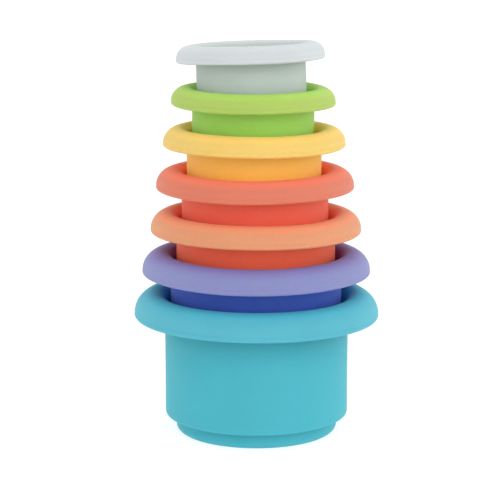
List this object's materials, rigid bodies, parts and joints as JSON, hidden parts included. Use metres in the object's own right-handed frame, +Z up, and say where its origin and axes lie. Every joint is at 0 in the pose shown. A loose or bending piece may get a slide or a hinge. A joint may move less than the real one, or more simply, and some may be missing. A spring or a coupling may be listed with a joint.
{
  "type": "stacking cup tower",
  "caption": "Tower of round soft cups with wide rolled rims, graded in size and telescoped so that each stands part way down in the larger one below.",
  "frame": {"origin": "on the table, at the centre of the largest cup's foot", "axes": "+Z up along the tower; -Y is the side that the tower is seen from, and +X is that viewer's right"},
  "size_m": [0.1, 0.1, 0.1607],
  "materials": {
    "aqua_silicone": "matte",
    "purple_silicone": "matte",
    "peach_silicone": "matte",
    "coral_silicone": "matte",
    "yellow_silicone": "matte",
    "green_silicone": "matte",
    "grey_silicone": "matte"
  },
  "bodies": {
    "aqua_cup": {"aqua_cup": "aqua_silicone"},
    "purple_cup": {"purple_cup": "purple_silicone"},
    "peach_cup": {"peach_cup": "peach_silicone"},
    "coral_cup": {"coral_cup": "coral_silicone"},
    "yellow_cup": {"yellow_cup": "yellow_silicone"},
    "green_cup": {"green_cup": "green_silicone"},
    "grey_cup": {"grey_cup": "grey_silicone"}
  },
  "joints": [
    {"name": "purple_lift", "type": "slide", "parent": "aqua_cup", "child": "purple_cup", "axis": [0, 0, 1], "range_m": [-0.0078, 0.052]},
    {"name": "peach_lift", "type": "slide", "parent": "purple_cup", "child": "peach_cup", "axis": [0, 0, 1], "range_m": [-0.0078, 0.049]},
    {"name": "coral_lift", "type": "slide", "parent": "peach_cup", "child": "coral_cup", "axis": [0, 0, 1], "range_m": [-0.009, 0.044]},
    {"name": "yellow_lift", "type": "slide", "parent": "coral_cup", "child": "yellow_cup", "axis": [0, 0, 1], "range_m": [-0.0085, 0.041]},
    {"name": "green_lift", "type": "slide", "parent": "yellow_cup", "child": "green_cup", "axis": [0, 0, 1], "range_m": [-0.0085, 0.038]},
    {"name": "grey_lift", "type": "slide", "parent": "green_cup", "child": "grey_cup", "axis": [0, 0, 1], "range_m": [-0.0045, 0.034]}
  ]
}
